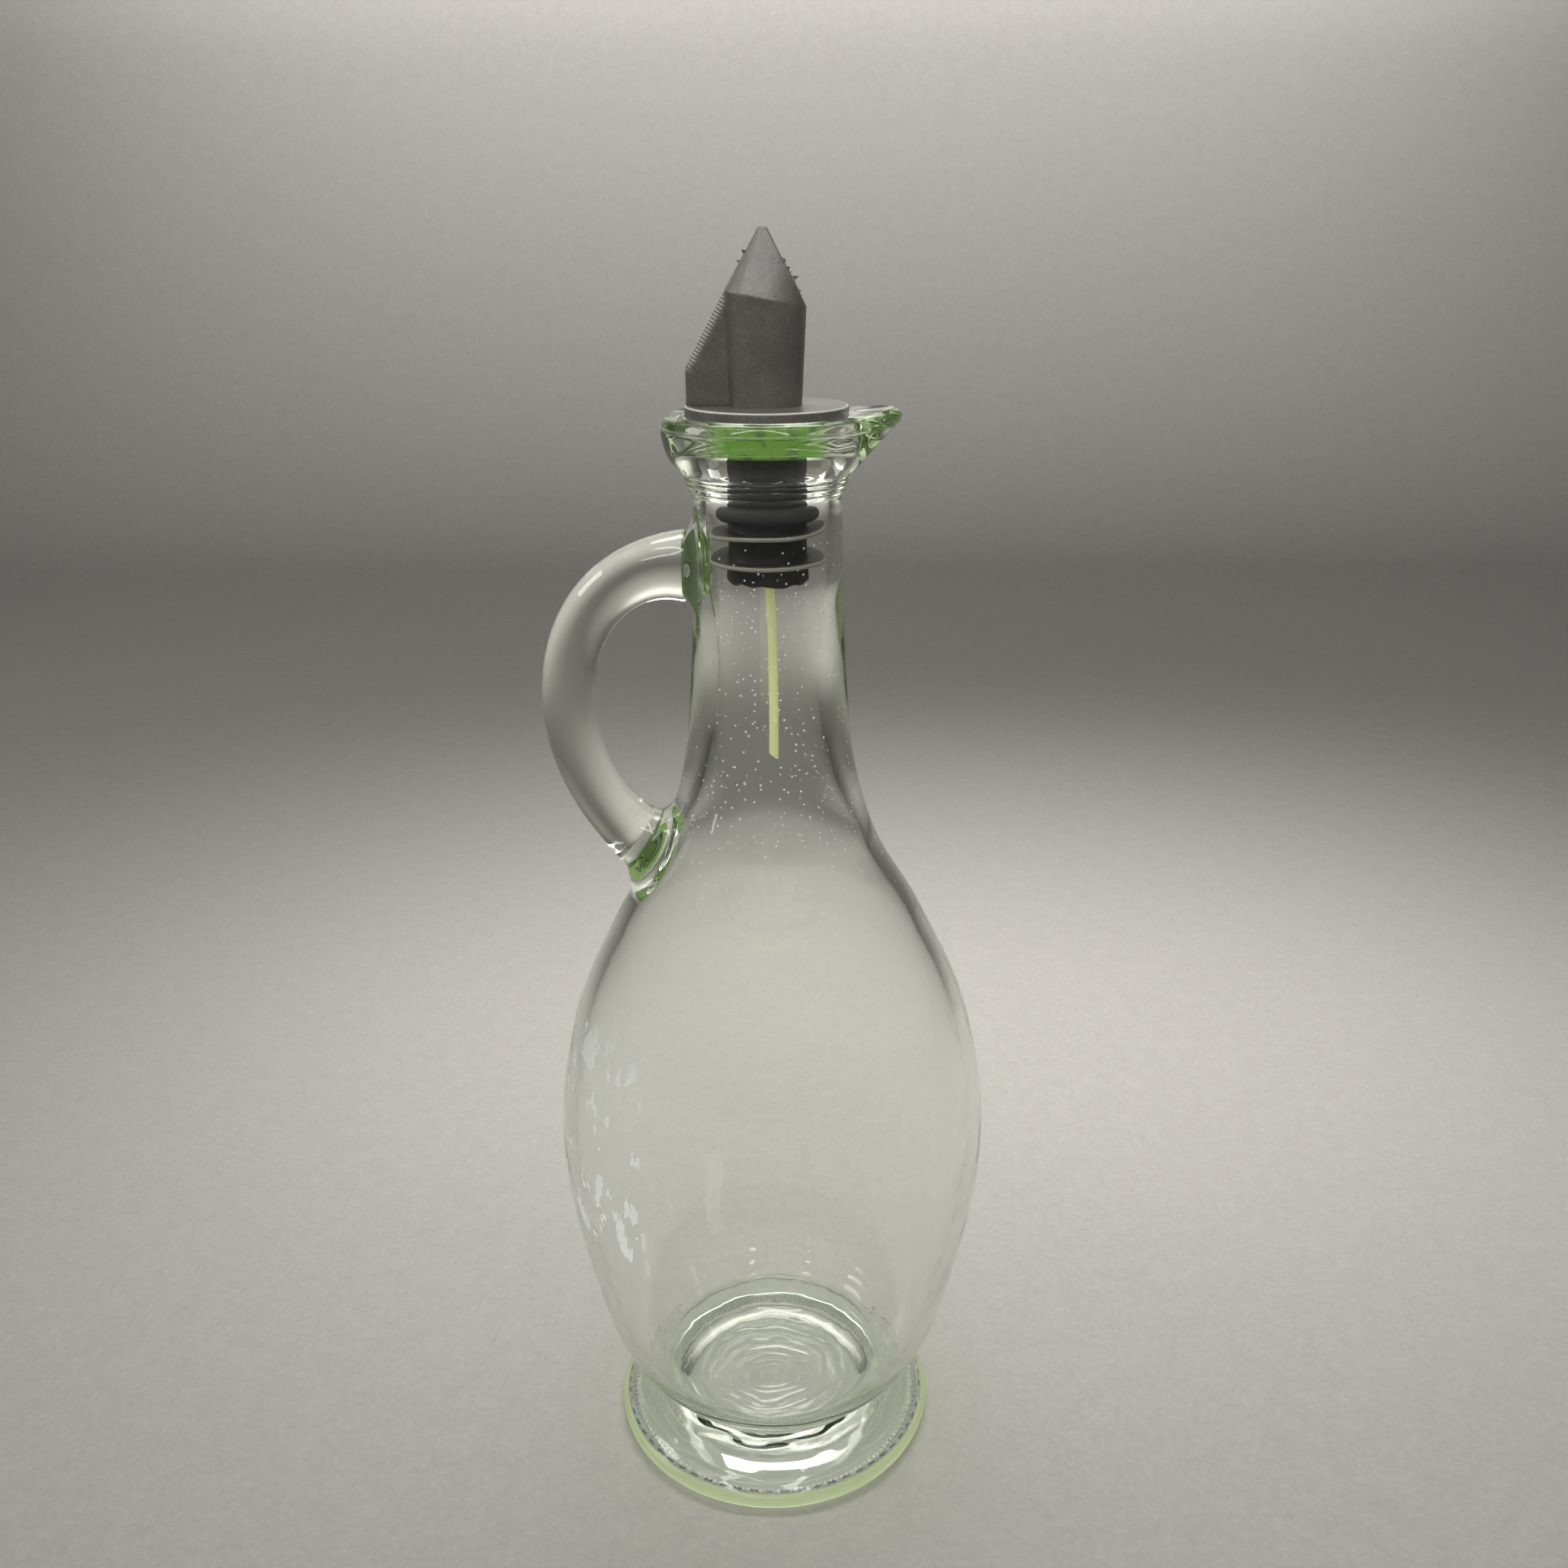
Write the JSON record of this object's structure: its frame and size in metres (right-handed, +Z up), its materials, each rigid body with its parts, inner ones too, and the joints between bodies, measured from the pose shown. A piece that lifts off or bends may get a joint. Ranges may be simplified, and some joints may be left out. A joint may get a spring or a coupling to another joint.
{
  "type": "glass oil bottle with pourer stopper",
  "caption": "Clear green-tinted glass oil bottle with a side handle, a pouring lip and a dark lift-out pourer stopper with a vent tube.",
  "frame": {"origin": "centre of the foot, on the surface that the bottle stands on", "axes": "+Z up the bottle's axis, +X towards the pouring lip, -X towards the handle"},
  "size_m": [0.0884, 0.0884, 0.2518],
  "materials": {
    "bottle_glass": "clear with a green tint in thick glass",
    "handle_glass": "clear with a green tint in thick glass",
    "satin_plastic": "satin dark grey-brown",
    "soft_plastic": "soft matt black",
    "tube_plastic": "translucent straw yellow"
  },
  "bodies": {
    "bottle": {"glass_bottle": "bottle_glass", "glass_handle": "handle_glass"},
    "plug": {"sealing_plug": "soft_plastic"},
    "pourer": {"pourer_spout": "satin_plastic", "vent_tube": "tube_plastic"}
  },
  "joints": [
    {"name": "stopper_lift", "type": "slide", "parent": "bottle", "child": "plug", "axis": [0, 0, 1], "range_m": [0, 0.075]},
    {"name": "pourer_turn", "type": "hinge", "parent": "plug", "child": "pourer", "pos_m": [0, 0, 0.21], "axis": [0, 0, 1], "continuous": true}
  ]
}
